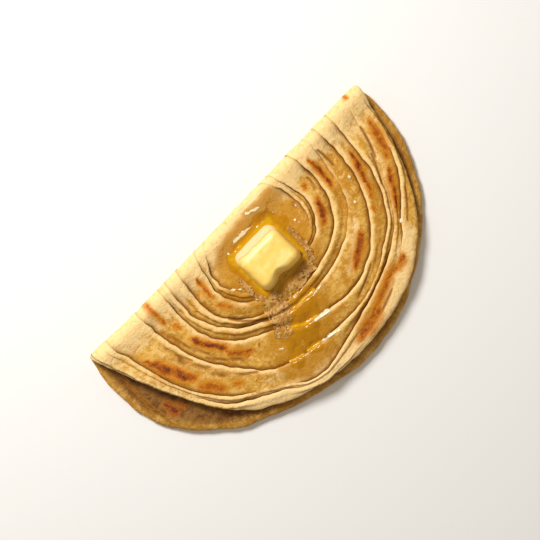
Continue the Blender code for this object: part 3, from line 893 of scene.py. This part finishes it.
glintShape = {
    # painted highlights: pale streaks and specks that stand for glints of light on the wet ridges, laid out
    # as the strokes above
    "strokes": (
        (-4.5, 12.4, 3.0, 12.5, 1.4), (3.0, 12.5, 8.3, 13.2, 0.9), (10.5, 6.6, 17.4, 9.2, 1.2),
        (16.5, 13.2, 22.5, 17.0, 0.6), (-11.4, 14.6, -10.7, 15.6, 1.2), (-24.3, 28.7, -20.2, 32.0, 0.9),
        (26.9, 29.2, 26.9, 29.5, 1.1), (3.6, 62.0, 10.8, 61.4, 0.8), (-11.5, 70.9, -4.0, 72.0, 0.6),
        (-4.0, 72.0, 3.6, 73.4, 1.6), (-15.0, 81.5, -6.0, 83.0, 0.8), (-6.0, 83.0, 0.7, 84.9, 1.2),
        (-28.5, 69.2, -27.3, 69.8, 1.1), (7.5, 74.2, 9.6, 74.6, 0.6), (62.8, 32.2, 62.8, 32.4, 1.2),
        (55.2, 43.7, 55.2, 43.9, 1.2), (65.2, 68.6, 65.4, 68.4, 1.6), (26.4, 27.4, 26.4, 27.6, 1.1),
        (31.9, 22.2, 31.9, 22.4, 0.9), (64.4, 34.8, 64.4, 35.0, 0.6),
    ),
    "box": (-32.0, 70.0, 3.0, 90.0), "step": 0.34, "depth": 0.8, "tuck": 0.4,
    "film": 0.3, "edge": 0.6, "wobble": ((0.45, 2.0, 71),),
    "colour": (0.93, 0.78, 0.47),
}


def glintProfile(along, across, ground, level, inside):
    top = ground + glintShape["film"] * smoothStep(inside / glintShape["edge"])
    return top, {"edge": smoothStep(inside / 1.1)}


def glintMaterial():
    paint = Paint("painted_glint_streaks", {
        "Roughness": 0.25, "Coat Weight": 0.3, "Coat Roughness": 0.1,
        "Subsurface Weight": 0.3, "Subsurface Scale": 0.001})
    tone = paint.band(paint.grain(500.0, 2.0), 0.3, 0.7)
    pale = glintShape["colour"]
    # painted highlights: a pale cream colour standing for glints of light
    paint.feed(Base_Color=paint.mix(tone, pale, [part * 0.9 for part in pale]))
    paint.feed(Alpha=paint.band(paint.read("edge") + (tone - 0.5) * 0.2, 0.05, 0.9))
    return paint.material


print("bread")
breadPiece, breadShift = makeBread()
print("butter")
makeButter(breadShift)
breadTree = BVHTree.FromObject(breadPiece, bpy.context.evaluated_depsgraph_get())
print("melted butter")
meltPiece = layFilm("melted_butter", breadTree, breadShift, meltShape, meltMaterial(), meltProfile)
meltPiece.visible_shadow = False  # its soft edge is seen through, and would darken the bread twice
print("froth")
layFilm("butter_froth", breadTree, breadShift, frothShape, frothMaterial(), frothProfile)
print("streaks")
# painted highlights: pale streaks laid over the crust where light glints on the wet butter
layFilm("painted_glints", breadTree, breadShift, glintShape, glintMaterial(), glintProfile)


stage = {
    "viewWidth": 286.5, "lens": 85.0, "turn": -46.2, "look": (-2.1, 36.2), "surface": 10.0,
    "floorColour": (0.80, 0.79, 0.77), "floorSize": 1.6, "floorDrop": 0.15,
    "keyPlace": (0.02, 0.64, 0.67), "keySize": 0.28, "keyPower": 9.5,
    "skyColour": (1.0, 0.91, 0.79), "sky": 0.42,
}


def makeFloor():
    floorShape = bmesh.new()
    bmesh.ops.create_grid(floorShape, x_segments=2, y_segments=2, size=stage["floorSize"])
    bmesh.ops.translate(floorShape, verts=floorShape.verts, vec=(0.0, 0.0, -stage["floorDrop"] * mm))
    mesh = bpy.data.meshes.new("floor")
    floorShape.to_mesh(mesh)
    floorShape.free()
    floor = bpy.data.objects.new("floor", mesh)
    bpy.context.scene.collection.objects.link(floor)
    paint = Paint("pale_floor", {"Base Color": (*stage["floorColour"], 1.0), "Roughness": 0.8})
    mesh.materials.append(paint.material)


def makeLight():
    # a soft key lamp from the fold's side, and an even sky
    lamp = bpy.data.lights.new("key", "AREA")
    lamp.shape, lamp.size, lamp.energy = "DISK", stage["keySize"], stage["keyPower"]
    key = bpy.data.objects.new("key", lamp)
    key.location = stage["keyPlace"]
    key.rotation_euler = (-Vector(stage["keyPlace"])).to_track_quat("-Z", "Y").to_euler()
    bpy.context.scene.collection.objects.link(key)
    world = bpy.data.worlds.new("sky")
    world.use_nodes = True
    background = next(node for node in world.node_tree.nodes if node.type == "BACKGROUND")
    background.inputs["Color"].default_value = (*stage["skyColour"], 1.0)
    background.inputs["Strength"].default_value = stage["sky"]
    bpy.context.scene.world = world


def makeCamera(shift):
    # straight down on the bread, turned so that the fold runs up to the right
    camera = bpy.data.objects.new("camera", bpy.data.cameras.new("camera"))
    camera.data.lens = stage["lens"]
    distance = stage["viewWidth"] * stage["lens"] / camera.data.sensor_width
    lookAlong, lookAcross = stage["look"]
    camera.location = Vector((lookAlong + shift[0], foldLine() + shift[1] - lookAcross,
                              distance + stage["surface"])) * mm
    camera.rotation_euler = (0.0, 0.0, math.radians(stage["turn"]))
    bpy.context.scene.collection.objects.link(camera)
    bpy.context.scene.camera = camera


print("stage")
makeFloor()
makeLight()
makeCamera(breadShift)
bpy.context.scene.view_settings.view_transform = "Standard"
